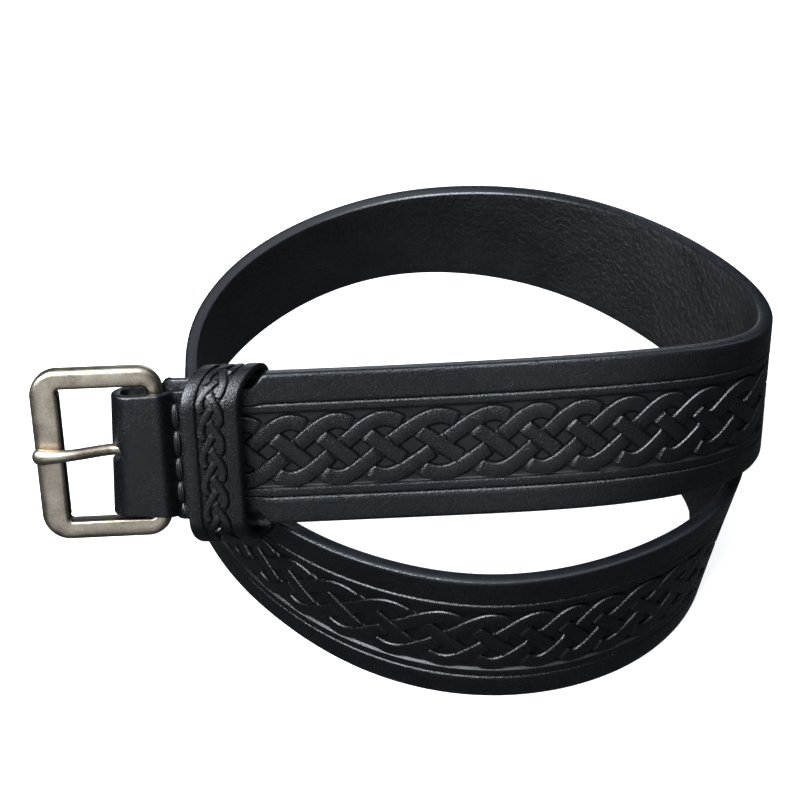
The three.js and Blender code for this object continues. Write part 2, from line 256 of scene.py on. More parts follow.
def half_width(distance):
    taper = mix(FOLD_HALF_WIDTH, END_HALF_WIDTH, smoothstep(distance, FOLD_RADIUS, SHOULDER_START / 2))
    full = mix(taper, STRAP_WIDTH / 2, smoothstep(distance, SHOULDER_START, SHOULDER_END))
    tail_start = STRAP_LENGTH - TAIL_NARROW_LENGTH
    narrowing = smoothstep(distance, tail_start, tail_start + TAIL_SHOULDER_LENGTH)
    tip = np.clip((distance - STRAP_LENGTH + TIP_LENGTH) / TIP_LENGTH, 0, 1) * TIP_BLUNT
    return mix(full, TAIL_HALF_WIDTH, narrowing) * np.sqrt(1 - tip ** 2)


def leather_stations(travel):
    """The leather where it has travelled this far from the fold's crest, back layer first.

    Gives a point of its outer face on the centre line, the way its width runs, the way it
    faces, its half width and its thickness.
    """
    travel = np.asarray(travel, float)
    angle = np.clip(travel / FOLD_RADIUS, -math.pi / 2, math.pi / 2)[:, None]
    crest = from_buckle_end(
        FOLD_RADIUS * (1 - np.cos(angle[:, 0])), 0, BUCKLE_PLANE + FOLD_RADIUS * np.sin(angle[:, 0])
    )
    origin = crest
    outward = -np.cos(angle) * end_along + np.sin(angle) * end_face
    wide = np.repeat(end_wide[None], len(travel), axis=0)
    half = np.full(len(travel), float(FOLD_HALF_WIDTH))
    thick = np.full(len(travel), float(PARED_THICK))

    flap = travel < -FOLD_QUARTER
    flap_x = FOLD_RADIUS - FOLD_QUARTER - travel[flap]
    flap_z = BUCKLE_PLANE - layer_reach(flap_x) - PARED_THICK / 2
    origin[flap] = from_buckle_end(flap_x, np.zeros_like(flap_x), flap_z)
    outward[flap] = -end_face
    wings = smoothstep(flap_x, HEEL_OFFSET + HEEL_RADIUS / 5, HEEL_OFFSET + 1.6 * HEEL_RADIUS)
    half[flap] = mix(FOLD_HALF_WIDTH, FLAP_HALF_WIDTH, wings)

    body = travel > FOLD_QUARTER
    distance = FOLD_RADIUS + travel[body] - FOLD_QUARTER
    middle, _, body_wide, body_face = coil_at_length(distance)
    rise = BUCKLE_PLANE + layer_reach(distance) + PARED_THICK / 2
    origin[body] = middle + body_face * rise[:, None]
    outward[body] = body_face
    wide[body] = body_wide
    half[body] = half_width(distance)
    thick[body] = mix(PARED_THICK, STRAP_THICK, smoothstep(distance, PARING_START, PARING_END))

    place = np.where(body, FOLD_RADIUS + travel - FOLD_QUARTER, FOLD_RADIUS - FOLD_QUARTER - travel)
    skew = FOLD_SKEW * (1 - smoothstep(place, FOLD_RADIUS, PINCH_START))[:, None]
    lift = BUCKLE_LIFT * (1 - smoothstep(place, FOLD_RADIUS, SHOULDER_START / 2))[:, None]
    origin = origin + end_wide * lift - end_along * FOLD_HALF_WIDTH * skew
    return origin, wide + end_along * skew, outward, half, thick


def travel_at(distance):
    """Travel along the leather of a place on the main layer, from its distance to the fold."""
    return distance - FOLD_RADIUS + FOLD_QUARTER


# The belt's own layout is moved on to the frame by its right-hand and front limits

def layout_shift():
    distances = np.arange(PARING_END, STRAP_LENGTH - TAIL_NARROW_LENGTH, 0.5)
    origin, wide, outward, half, thick = leather_stations(travel_at(distances))
    corners = np.concatenate([
        origin + wide * side * half[:, None] - outward * (thick * depth)[:, None]
        for side in (-1, 1) for depth in (0.17, 0.83)
    ] + [
        origin + wide * side * (half - 0.9)[:, None] - outward * (thick * depth)[:, None]
        for side in (-1, 1) for depth in (0, 1)
    ])
    low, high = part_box("strap")
    return np.array([high.x * 1000 - corners[:, 0].max(), low.y * 1000 - corners[:, 1].min(), 0])


SHIFT = layout_shift()


def to_metres(points):
    return (np.asarray(points, float) + SHIFT) / 1000


# Mesh helpers

def grid_sheet(rows, columns):
    """A bmesh sheet of rows by columns corners, with its corners in row order."""
    bm = bmesh.new()
    bmesh.ops.create_grid(bm, x_segments=columns - 1, y_segments=rows - 1, size=1)
    bm.verts.ensure_lookup_table()
    order = sorted(bm.verts, key=lambda v: (round(v.co.y, 5), round(v.co.x, 5)))
    for index, vert in enumerate(order):
        vert.index = index
    bm.verts.sort()
    bm.verts.ensure_lookup_table()
    return bm


def lay_out(bm, points):
    for vert, point in zip(bm.verts, np.asarray(points, float).reshape(-1, 3)):
        vert.co = point


def close_sleeve(bm, is_loop=False):
    """Joins a sheet's long sides, then closes or joins its ends."""
    bmesh.ops.remove_doubles(bm, verts=bm.verts, dist=1e-4)
    if not is_loop:
        open_edges = [edge for edge in bm.edges if edge.is_boundary]
        bmesh.ops.holes_fill(bm, edges=open_edges)
    bmesh.ops.recalc_face_normals(bm, faces=bm.faces)


def sleeve(rings, is_loop=False, shade_rows=()):
    """A closed body through a row of rings, given as an array of rings by corners by 3.

    The long rows of faces listed in the last argument take the second leather; on the ribbons that is the
    near-black painted shade at their feet.
    """
    rings = np.asarray(rings, float)
    if is_loop:
        rings = np.concatenate([rings, rings[:1]])
    rings = np.concatenate([rings, rings[:, :1]], axis=1)
    columns = rings.shape[1]
    bm = grid_sheet(rings.shape[0], columns)
    for face in bm.faces:
        face.material_index = int(min(vert.index % columns for vert in face.verts) in shade_rows)
    lay_out(bm, rings)
    close_sleeve(bm, is_loop)
    return bm


def soften(bm, sharp_degrees):
    for face in bm.faces:
        face.smooth = True
    limit = math.radians(sharp_degrees)
    for edge in bm.edges:
        if len(edge.link_faces) == 2 and edge.calc_face_angle(0) > limit:
            edge.smooth = False


def make_piece(name, bm, materials, body, sharp_degrees=32):
    """Turns a bmesh in the belt's layout into a finished piece that rides on a body."""
    soften(bm, sharp_degrees)
    for vert in bm.verts:
        vert.co = to_metres(vert.co)
    mesh = bpy.data.meshes.new(name)
    bm.to_mesh(mesh)
    bm.free()
    for material in materials:
        mesh.materials.append(material)
    piece = bpy.data.objects.new(name, mesh)
    bpy.context.scene.collection.objects.link(piece)
    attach(piece, body)
    return piece


def join_bodies(target, extra):
    """Adds the second bmesh to the first and frees it."""
    carrier = bpy.data.meshes.new("carrier")
    extra.to_mesh(carrier)
    extra.free()
    target.from_mesh(carrier)
    bpy.data.meshes.remove(carrier)


# Shader maths on sockets

class Value:
    """A shader socket with arithmetic."""

    def __init__(self, finish, socket):
        self.finish = finish
        self.socket = socket

    def _math(self, operation, *others, swap=False):
        values = [self, *others]
        if swap:
            values.reverse()
        return self.finish.node("ShaderNodeMath", {"operation": operation}, dict(enumerate(values)))

    def __add__(self, other):
        return self._math("ADD", other)

    __radd__ = __add__

    def __mul__(self, other):
        return self._math("MULTIPLY", other)

    __rmul__ = __mul__

    def __sub__(self, other):
        return self._math("SUBTRACT", other)

    def __rsub__(self, other):
        return self._math("SUBTRACT", other, swap=True)


class Finish:
    """A material under construction."""

    def __init__(self, name, roughness=0.5, metallic=0.0, coat=0.0):
        self.material = bpy.data.materials.new(name)
        self.material.use_nodes = True
        self.tree = self.material.node_tree
        self.shader = self.tree.nodes["Principled BSDF"]
        self.shader.inputs["Roughness"].default_value = roughness
        self.shader.inputs["Metallic"].default_value = metallic
        self.shader.inputs["Coat Weight"].default_value = coat
        self.place = self.node("ShaderNodeTexCoord", {}, {}, "Object")

    def node(self, kind, settings, inputs, output=0):
        node = self.tree.nodes.new(kind)
        for key, setting in settings.items():
            if key == "stops":
                self._set_stops(node.color_ramp, setting)
            else:
                setattr(node, key, setting)
        for key, value in inputs.items():
            self.feed(node.inputs[key], value)
        return Value(self, node.outputs[output])

    @staticmethod
    def _set_stops(ramp, stops):
        for element, (position, shade) in zip(ramp.elements, (stops[0], stops[-1])):
            element.position = position
            element.color = (shade, shade, shade, 1)
        for position, shade in stops[1:-1]:
            ramp.elements.new(position).color = (shade, shade, shade, 1)

    def feed(self, socket, value):
        if isinstance(value, Value):
            self.tree.links.new(value.socket, socket)
        else:
            socket.default_value = value

    def noise(self, scale, detail=2.0, roughness=0.5, place=None):
        inputs = {"Vector": place or self.place, "Scale": scale, "Detail": detail, "Roughness": roughness}
        return self.node("ShaderNodeTexNoise", {}, inputs)

    def cells(self, scale, feature="F1", place=None):
        inputs = {"Vector": place or self.place, "Scale": scale}
        return self.node("ShaderNodeTexVoronoi", {"feature": feature}, inputs)

    def ramp(self, value, *stops):
        return self.node("ShaderNodeValToRGB", {"stops": stops}, {"Fac": value})

    def blend_colours(self, share, low, high):
        settings = {"data_type": "RGBA"}
        return self.node("ShaderNodeMix", settings, {0: share, 6: low, 7: high}, 2)

    def bump(self, height, distance, strength=1.0, under=None):
        inputs = {"Height": height, "Distance": distance, "Strength": strength}
        if under is not None:
            inputs["Normal"] = under
        return self.node("ShaderNodeBump", {}, inputs)

    def wear(self, **sockets):
        for name, value in sockets.items():
            self.feed(self.shader.inputs[name.replace("_", " ")], value)
        return self.material


def grain_leather():
    """Smooth dyed face: fine pebbled grain and fine creases under a soft, uneven polish."""
    finish = Finish("black_grain_leather")
    pebble = finish.noise(1900, 2, 0.65)
    pores = finish.cells(1700)
    mottle = finish.noise(55, 4, 0.6)
    colour = finish.blend_colours(mottle, (0.0008, 0.0009, 0.0013, 1), (0.002, 0.0022, 0.0031, 1))
    gloss = finish.ramp(mottle * 0.5 + pebble * 0.5, (0.32, 0.2), (0.7, 0.33))
    coarse = finish.bump(pebble, 0.00023, 0.9)
    fine = finish.bump(pores, 0.00006, 0.6, coarse)
    return finish.wear(Base_Color=colour, Roughness=gloss, Normal=fine)


def panel_leather():
    """Floor of the embossed panel: matt and stippled by the die."""
    finish = Finish("black_stippled_leather")
    stipple = finish.noise(1900, 2, 0.65)
    mottle = finish.noise(110, 2)
    colour = finish.blend_colours(mottle, (0.0006, 0.0007, 0.001, 1), (0.0014, 0.0016, 0.0022, 1))
    gloss = finish.ramp(mottle, (0.3, 0.27), (0.8, 0.4))
    return finish.wear(Base_Color=colour, Roughness=gloss, Normal=finish.bump(stipple, 0.0002, 0.9))


def crease_painted_shade():
    """Painted shade for the sharp pressed lines beside the raised work: near-black, with its shine turned
    down.
    """
    finish = Finish("black_crease_painted_shade")
    # The low specular level and the near-black colour below are painted shade, mottled at random.
    finish.shader.inputs["Specular IOR Level"].default_value = 0.12
    shade_mottle = finish.noise(700, 3)
    colour = finish.blend_colours(shade_mottle, (0.0003, 0.0003, 0.0005, 1), (0.0009, 0.001, 0.0013, 1))
    gloss = finish.ramp(shade_mottle, (0.3, 0.5), (0.7, 0.7))
    return finish.wear(Base_Color=colour, Roughness=gloss, Normal=finish.bump(shade_mottle, 0.0001, 0.5))


def edge_paint():
    """Painted and burnished edges."""
    finish = Finish("black_edge_paint")
    mottle = finish.noise(140, 3)
    grain = finish.noise(2000, 2, 0.6)
    colour = finish.blend_colours(mottle, (0.0016, 0.002, 0.0028, 1), (0.004, 0.0046, 0.0064, 1))
    gloss = finish.ramp(mottle, (0.3, 0.2), (0.8, 0.32))
    return finish.wear(Base_Color=colour, Roughness=gloss, Normal=finish.bump(grain, 0.00018, 0.8))


def flesh_side():
    """The strap's inner face: dyed and slicked, with short creases and a coarse nap."""
    finish = Finish("black_flesh_side")
    creases = finish.cells(210, "DISTANCE_TO_EDGE")
    nap = finish.noise(520, 6, 0.7)
    mottle = finish.noise(45, 3)
    colour = finish.blend_colours(mottle, (0.0018, 0.0018, 0.0021, 1), (0.0042, 0.0043, 0.0049, 1))
    gloss = finish.ramp(mottle * 0.5 + nap * 0.5, (0.3, 0.4), (0.75, 0.6))
    rough = finish.bump(nap, 0.0012, 0.8)
    relief = finish.bump(finish.ramp(creases, (0.0, 0.0), (0.25, 1.0)), 0.0005, 0.35, rough)
    return finish.wear(Base_Color=colour, Roughness=gloss, Normal=relief)


def antique_nickel():
    """Tumbled antique plate: warm grey, finely speckled."""
    finish = Finish("antique_nickel", metallic=1.0)
    speckle = finish.noise(2300, 4, 0.7)
    cloud = finish.noise(160, 3, 0.5)
    colour = finish.blend_colours(
        finish.ramp(speckle * 0.6 + cloud * 0.4, (0.36, 0.0), (0.6, 1.0)),
        (0.22, 0.175, 0.13, 1), (0.5, 0.43, 0.345, 1),
    )
    gloss = finish.ramp(speckle * 0.5 + cloud * 0.5, (0.3, 0.26), (0.7, 0.4))
    return finish.wear(Base_Color=colour, Roughness=gloss, Normal=finish.bump(speckle, 0.00015, 0.4))


def shaded_nickel():
    """The same plate, darkened as painted shade on the walls inside the buckle's window."""
    finish = Finish("nickel_painted_shade", metallic=1.0)
    cloud = finish.noise(420, 4, 0.6)
    # The dark colour here is painted shade.
    colour = finish.blend_colours(cloud, (0.035, 0.026, 0.019, 1), (0.13, 0.105, 0.08, 1))
    gloss = finish.ramp(cloud, (0.3, 0.34), (0.7, 0.5))
    return finish.wear(Base_Color=colour, Roughness=gloss, Normal=finish.bump(cloud, 0.00015, 0.4))


def waxed_thread():
    finish = Finish("black_waxed_thread")
    fibres = finish.noise(2600, 3, 0.6)
    colour = finish.blend_colours(fibres, (0.0014, 0.0015, 0.0019, 1), (0.004, 0.0042, 0.005, 1))
    gloss = finish.ramp(fibres, (0.3, 0.3), (0.75, 0.5))
    return finish.wear(Base_Color=colour, Roughness=gloss, Normal=finish.bump(fibres, 0.0002, 0.6))


grain = grain_leather()
stipple = panel_leather()
paint = edge_paint()
flesh = flesh_side()
nickel = antique_nickel()
nickel_shade = shaded_nickel()
thread = waxed_thread()
# The crease finish is painted shade for the lines and walls beside the raised work.
crease_shade = crease_painted_shade()
GRAIN, STIPPLE, PAINT, FLESH, CREASE_SHADE = range(5)
leathers = [grain, stipple, paint, flesh, crease_shade]


# Strap

def face_profile():
    """Corners round the strap's section, from its lower edge up the face and down the back.

    Each is a height on the full width, a depth under the face, and how much of the depth is
    embossing that fades where the strap is plain.
    """
    half = STRAP_WIDTH / 2
    corners = [(-half, 1.5, 0), (-half + 0.1, 0.85, 0), (-half + 0.45, 0.3, 0), (-half + 1.0, 0.05, 0)]
    corners += [(height, 0, 0) for height in (-27, -25, -23, -20.5)]
    corners += groove_profile(GROOVE_LOW)
    corners += [(height, 0, 0) for height in (-16.8, -15.8)]
    corners += [(PANEL_LOW - 0.55, 0, 0), (PANEL_LOW - 0.25, 0, 0.12)]
    corners += [(PANEL_LOW + 0.3, 0, PANEL_DEPTH - 0.12)]
    floor = np.linspace(PANEL_LOW + 0.55, PANEL_HIGH - 0.3, 37)
    half_slot = TONGUE_RADIUS + SLOT_CLEAR
    slot_edges = [TONGUE_PLACE - half_slot, TONGUE_PLACE + half_slot]
    for edge in slot_edges:
        floor[np.argmin(abs(floor - edge))] = edge
    corners += [(height, 0, PANEL_DEPTH) for height in floor]
    corners += [(PANEL_HIGH - 0.1, 0, PANEL_DEPTH - 0.12)]
    corners += [(PANEL_HIGH + 0.15, 0, 0.12), (PANEL_HIGH + 0.35, 0, 0)]
    corners += [(height, 0, 0) for height in (15.2, 16.2)]
    corners += groove_profile(GROOVE_HIGH)
    corners += [(height, 0, 0) for height in (19, 20.5, 22, 24, 26, 27)]
    corners += [(half - 1.0, 0.05, 0), (half - 0.45, 0.3, 0), (half - 0.1, 0.85, 0), (half, 1.5, 0)]
    back = STRAP_THICK
    corners += [(half, back - 1.2, 0), (half - 0.15, back - 0.6, 0), (half - 0.6, back - 0.15, 0)]
    slot_steps = list(TONGUE_PLACE + half_slot * np.cos(np.linspace(0, math.pi, 9)))
    inner = [half - 1.3, 24, 20, 16, 12, 8, *slot_steps, -4.5, -8, -12, -16, -20, -24]
    corners += [(height, back, 0) for height in inner + [-half + 1.3]]
    corners += [(-half + 0.6, back - 0.15, 0), (-half + 0.15, back - 0.6, 0), (-half, back - 1.2, 0)]
    return np.array(corners)


def groove_profile(height):
    return [
        (height - 0.8, 0, 0), (height - 0.55, 0, 0.12), (height - 0.12, 0, GROOVE_DEPTH),
        (height + 0.12, 0, GROOVE_DEPTH), (height + 0.34, 0, 0.1), (height + 0.55, 0, 0),
    ]


def fitted_height(height, half):
    """Height on the full width, drawn in outside the panel to fit a narrower stretch."""
    panel = 16.3
    share = np.minimum(1, half / 20)
    outer = (half - panel * share) / (STRAP_WIDTH / 2 - panel)
    beyond = np.clip(np.abs(height) - panel, 0, None)
    return np.sign(height) * (np.minimum(np.abs(height), panel) * share + beyond * outer)


def strap_travels():
    flap_end = -(FLAP_LENGTH - FOLD_RADIUS) - FOLD_QUARTER
    slot_end = slot_straight()
    sunk = travel_at(np.array([STITCH_LINE - 2.4, STITCH_LINE + 2.4]))
    tail = travel_at(STRAP_LENGTH)
    plain = travel_at(STRAP_LENGTH - TIP_LENGTH)
    return np.unique(np.round(np.concatenate([
        np.arange(flap_end, -FOLD_QUARTER, 1.6),
        np.linspace(-FOLD_QUARTER, -slot_end, 11),
        np.linspace(-slot_end, slot_end, 13),
        np.linspace(slot_end, FOLD_QUARTER, 11),
        np.arange(FOLD_QUARTER, sunk[0], 0.9),
        np.linspace(sunk[0], sunk[1], 13),
        np.arange(sunk[1] + 0.9, travel_at(PLAIT_START) - 1, 1.2),
        np.arange(travel_at(PLAIT_START) - 1, travel_at(58), 0.6),
        np.arange(travel_at(58.5), travel_at(PLAIT_END) - 3, 2.5),
        np.arange(travel_at(PLAIT_END) - 3, travel_at(PLAIT_END) + 3, 0.7),
        np.linspace(travel_at(PLAIT_END) + 3, plain, 50),
        plain + (tail - plain) * np.sin(np.linspace(0, math.pi / 2, 16)),
    ]), 4))


def strap_surface(travel, height, depth, embossed):
    """Places of rows of section corners, one row for each travel."""
    origin, wide, outward, half, thick = leather_stations(travel)
    distance = travel - FOLD_QUARTER + FOLD_RADIUS
    pressed = smoothstep(distance, PLAIT_START - 0.6, PLAIT_START + 0.6)
    pressed = pressed * (1 - smoothstep(distance, PLAIT_END - 0.6, PLAIT_END + 0.6))
    across = fitted_height(height[None], half[:, None])
    sunk = depth[None] * thick[:, None] / STRAP_THICK + embossed[None] * pressed[:, None]
    on_face = (depth[None] < 0.1) & (travel[:, None] > FOLD_QUARTER)
    sunk = sunk + on_face * stitch_hollow(distance[:, None], across)
    points = origin[:, None] + wide[:, None] * across[..., None] - outward[:, None] * sunk[..., None]
    points[..., 2] = np.maximum(points[..., 2], 0)
    return points


def stitch_hollow(distance, across):
    """How far the stitches pull the leather in: a channel, with a pit at each hole."""
    from_line = distance - STITCH_LINE
    ends = smoothstep(STITCH_HOLES[0] + 1.4 - across, 0, 1.2)
    ends = ends * smoothstep(across - STITCH_HOLES[-1] + 1.4, 0, 1.2)
    channel = 0.85 * np.exp(-(from_line / 1.25) ** 2) * ends
    pits = sum(np.exp(-(from_line ** 2 + (across - hole) ** 2) / 0.9) for hole in STITCH_HOLES)
    return channel + 0.9 * pits


def strap_body():
    profile = face_profile()
    height, depth, embossed = profile.T
    travel = strap_travels()
    points = strap_surface(travel, height, depth, embossed)
    round_slot_ends(points, travel, height)
    rings = np.concatenate([points, points[:, :1]], axis=1)
    bm = grid_sheet(rings.shape[0], rings.shape[1])
    lay_out(bm, rings)
    mark_leathers(bm, profile, travel)
    cut_slot(bm, profile, travel)
    close_sleeve(bm)
    return bm


def round_slot_ends(points, travel, height):
    """Draws the slot's ends out to half circles, and the leather beyond them after it."""
    half_slot = TONGUE_RADIUS + SLOT_CLEAR
    straight = slot_straight()
    from_middle = (height - TONGUE_PLACE) / half_slot
    for column in np.nonzero(np.abs(from_middle) < 0.999)[0]:
        bulge = half_slot * math.sqrt(1 - from_middle[column] ** 2)
        beyond = np.clip((np.abs(travel) - straight) / 7, 0, 1)
        moved = travel + np.sign(travel) * bulge * (1 - beyond) ** 2 * (np.abs(travel) > straight - 1e-3)
        for axis in range(3):
            points[:, column, axis] = np.interp(moved, travel, points[:, column, axis].copy())


def slot_straight():
    """Travel from the crest to where the slot's round end starts."""
    return FOLD_RADIUS * math.radians(SLOT_ANGLE) - TONGUE_RADIUS - SLOT_CLEAR


def quad_places(bm, profile, travel):
    """Each face of the strap's sheet with the middle of its height, depth and travel."""
    columns = len(profile) + 1
    for face in bm.faces:
        corners = [divmod(vert.index, columns) for vert in face.verts]
        rows = sorted({row for row, _ in corners})
        ring = sorted({column for _, column in corners})
        ends = profile[[ring[0], ring[1] % len(profile)]]
        yield face, ends[:, 0].mean(), (ends[:, 1] + ends[:, 2]), travel[rows].mean()


def mark_leathers(bm, profile, travel):
    start, end = travel_at(PLAIT_START), travel_at(PLAIT_END)
    for face, height, depths, along in quad_places(bm, profile, travel):
        depth = depths.mean()
        if depth > STRAP_THICK - 0.2:
            face.material_index = FLESH
        elif abs(height) > STRAP_WIDTH / 2 - 0.9:
            face.material_index = PAINT
        elif PANEL_LOW < height < PANEL_HIGH and start < along < end and depth > 0.3:
            face.material_index = STIPPLE
        # Down-facing walls of the grooves and the panel's upper edge take the crease finish as painted shade.
        elif start < along < end and shaded_wall(height):
            face.material_index = CREASE_SHADE


def shaded_wall(height):
    """Whether a place across the face is on a wall of the embossing that faces down, which takes the
    near-black painted shade.
    """
    in_groove = any(-0.13 < height - groove < 0.35 for groove in (GROOVE_LOW, GROOVE_HIGH))
    return in_groove or PANEL_HIGH < height < PANEL_HIGH + 0.1


def cut_slot(bm, profile, travel):
    """Opens the tongue's slot through both skins of the fold and walls it round."""
    reach = slot_straight()
    half_slot = TONGUE_RADIUS + SLOT_CLEAR
    inside = [
        face for face, height, _, along in quad_places(bm, profile, travel)
        if abs(along) < reach and abs(height - TONGUE_PLACE) < half_slot
    ]
    bmesh.ops.delete(bm, geom=inside, context="FACES")
    middle = from_buckle_end(0, TONGUE_HEIGHT, BUCKLE_PLANE)
    rim = [
        edge for edge in bm.edges if edge.is_boundary
        and np.linalg.norm(np.array((edge.verts[0].co + edge.verts[1].co) / 2) - middle) < 2 * FOLD_RADIUS
        and abs(np.dot(np.array(edge.verts[0].co) - middle, end_wide)) < half_slot + 0.1
        and abs(np.dot(np.array(edge.verts[1].co) - middle, end_wide)) < half_slot + 0.1
    ]
    bmesh.ops.bridge_loops(bm, edges=rim)


def punch_holes(piece):
    """Punches the free end's holes with one cutter of round pins."""
    pins = bmesh.new()
    for index in range(HOLE_COUNT):
        distance = STRAP_LENGTH - HOLE_FIRST - index * HOLE_PITCH
        middle, along, wide, face = (value[0] for value in coil_at_length(distance))
        made = bmesh.ops.create_cone(
            pins, cap_ends=True, segments=28, radius1=HOLE_RADIUS, radius2=HOLE_RADIUS, depth=3 * STRAP_THICK
        )
        for vert in made["verts"]:
            x, y, z = vert.co
            vert.co = middle + x * along + y * wide + z * face
    bmesh.ops.recalc_face_normals(pins, faces=pins.faces)
    for vert in pins.verts:
        vert.co = to_metres(vert.co)
    mesh = bpy.data.meshes.new("hole_pins")
    pins.to_mesh(mesh)
    pins.free()
    mesh.materials.append(paint)
    cutter = bpy.data.objects.new("hole_pins", mesh)
    bpy.context.scene.collection.objects.link(cutter)
    punch = piece.modifiers.new("punch", "BOOLEAN")
    punch.operation = "DIFFERENCE"
    punch.solver = "EXACT"
    punch.object = cutter
    bpy.context.view_layer.objects.active = piece
    bpy.ops.object.modifier_apply(modifier=punch.name)
    bpy.data.objects.remove(cutter)


# Plait

def plait_wave(turn):
    """A straight-sided wave with round crests, from -1 to 1."""
    crispness = 0.82
    return np.arcsin(crispness * np.sin(turn)) / math.asin(crispness)


def woven_depth(along, across, turn, width, crossings):
    """How far a ribbon dips under its neighbours, from 0 to 1.

    At each crossing, a place in the wave, it stays down as far as the upper ribbon's edge.
    """
    rise = np.gradient(across, along)
    edge = np.minimum(width / 4 * np.hypot(1, rise) / np.maximum(np.abs(rise), 0.2), WIDEST_CROSSING)
    dip = np.zeros_like(turn)
    for crossing in crossings:
        turns_away = np.abs((turn - crossing + math.pi) % (2 * math.pi) - math.pi)
        away = turns_away / np.gradient(turn, along)
        dip = np.maximum(dip, 1 - smoothstep(away, edge + 0.05, edge + 0.6))
    return dip


def crease_shade_rows(section):
    """The rows of faces at both feet of a ribbon, from the crease's outer lip up the wall, which take painted
    shade.
    """
    last = len(section) - 2
    return 0, 1, 2, last - 2, last - 1, last


def ribbon(place, path, width, depths, floor):
    """A flat ribbon with bevelled sides along a path of along, across and depth."""
    along, across = path
    run = np.gradient(along), np.gradient(across)
    length = np.hypot(*run)
    side = -run[1] / length, run[0] / length
    half = width / 2
    foot = floor - 0.2
    # The section's first and last corners make a thin crease strip at the ribbon's feet; with the ribbon's
    # walls it takes painted shade.
    section = [(-half - CREASE_WIDTH - 0.05, floor), (-half - CREASE_WIDTH, foot), (-half, foot)]
    section += [(-half + 0.06, 0.5), (-half + 0.14, 0.36), (-half + 0.5, 0.04), (-half + 0.66, 0)]
    section += [(-offset, depth) for offset, depth in reversed(section)]
    rings = []
    for offset, depth in section:
        under = np.minimum(depths + depth, floor) if depth < floor else np.full_like(depths, floor)
        rings.append(place(along + side[0] * offset, across + side[1] * offset, under))
    return sleeve(np.stack(rings, axis=1), shade_rows=crease_shade_rows(section))


def strap_face_place(distance, across, depth):
    """Place on the strap's patterned face of points at a distance, height and depth."""
    origin, wide, outward, _, _ = leather_stations(travel_at(np.asarray(distance)))
    points = origin + wide * np.asarray(across)[:, None] - outward * np.asarray(depth)[:, None]
    points[:, 2] = np.maximum(points[:, 2], 0)
    return points


def arcs_passed(distance):
    """How many upper arcs the plait has made by each of a row of evenly spaced places."""
    pitches = [row.pitch for row in PLAIT_STRETCHES for _ in range(row.arcs)]
    arcs = FIRST_ARC + np.cumsum([0, *pitches])
    step = distance[1] - distance[0]
    reach = round(0.6 * PLAIT_PITCH / step)
    window = np.hanning(2 * reach + 3)[1:-1]
    longer = np.concatenate([
        distance[0] - step * np.arange(reach, 0, -1), distance, distance[-1] + step * np.arange(1, reach + 1),
    ])
    before = (longer - arcs[0]) / PLAIT_PITCH
    passed = np.where(longer < arcs[0], before, np.interp(longer, arcs, np.arange(len(arcs))))
    return np.convolve(passed, window / window.sum(), "valid")


def strap_plait():
    """Four ribbons woven along the panel: over at the outer rows going up, under in the middle."""
    whole = bmesh.new()
    distance = np.arange(PLAIT_START + 0.3, PLAIT_END - 0.3, 0.55)
    passed = arcs_passed(distance)
    for strand in range(4):
        turn = (passed + 1 + strand) * math.pi / 2
        across = PLAIT_MIDDLE + PLAIT_REACH * plait_wave(turn)
        unders = (0, 0.75 * math.pi, 1.25 * math.pi)
        depths = RIBBON_TOP + RIBBON_DIP * woven_depth(distance, across, turn, RIBBON_WIDTH, unders)
        part = ribbon(strap_face_place, (distance, across), RIBBON_WIDTH, depths, PANEL_DEPTH + 0.1)
        join_bodies(whole, part)
    return whole


# Keeper

def keeper_loop():
    """Outline of the keeper's outer face: depth, height, outward direction and length round."""
    back = BUCKLE_PLANE - CLOSED_REACH - PARED_THICK / 2 - SEAT_GAP - KEEPER_THICK
    front = STRAP_THICK / 2 + STRAP_THICK + KEEPER_CLEAR + KEEPER_THICK
    half = STRAP_WIDTH / 2 + KEEPER_SIDE_CLEAR + KEEPER_THICK
    corners = [
        (front, half, KEEPER_FRONT_RADIUS, 0), (back, half, KEEPER_BACK_RADIUS, 90),
        (back, -half, KEEPER_BACK_RADIUS, 180), (front, -half, KEEPER_FRONT_RADIUS, 270),
    ]
    points = []
    for depth, height, radius, start in corners:
        centre = depth - math.copysign(radius, depth), height - math.copysign(radius, height)
        for angle in np.radians(np.linspace(start, start + 90, 16)):
            points.append((centre[0] + radius * math.cos(angle), centre[1] + radius * math.sin(angle), angle))
    return np.array(points), front


KEEPER_OUTLINE, KEEPER_FRONT = keeper_loop()


def keeper_place(round_length, across, sunk):
    """Place of a point at a length round the keeper from the middle of its front."""
    outline = np.concatenate([KEEPER_OUTLINE, KEEPER_OUTLINE[:1] + [0, 0, 2 * math.pi]])
    steps = np.hypot(*np.diff(outline[:, :2], axis=0).T)
    lengths = np.concatenate([[0], np.cumsum(steps)])
    front_half = (outline[0, 1] - outline[len(outline) - 2, 1]) / 2
    total = lengths[-1]
    place = (np.asarray(round_length, float) - front_half) % total
    depth, height, angle = (np.interp(place, lengths, outline[:, column]) for column in range(3))
    depth = depth - np.cos(angle) * sunk
    height = height - np.sin(angle) * sunk
    along = KEEPER_CENTRE + across - KEEPER_SKEW * (depth - KEEPER_FRONT)
    return from_buckle_end(along, height - KEEPER_DROP, depth)


def keeper_girth():
    outline = np.concatenate([KEEPER_OUTLINE, KEEPER_OUTLINE[:1]])
    return np.hypot(*np.diff(outline[:, :2], axis=0).T).sum()


KEEPER_PLAIT_HALF = 5.0
KEEPER_PANEL_DEPTH = 0.85
BRAID_WAVES = 5
BRAID_REACH = KEEPER_PLAIT_HALF - 1.6
BRAID_RIBBON_WIDTH = 2.7
BRAID_CREASE_WIDTH = 0.2


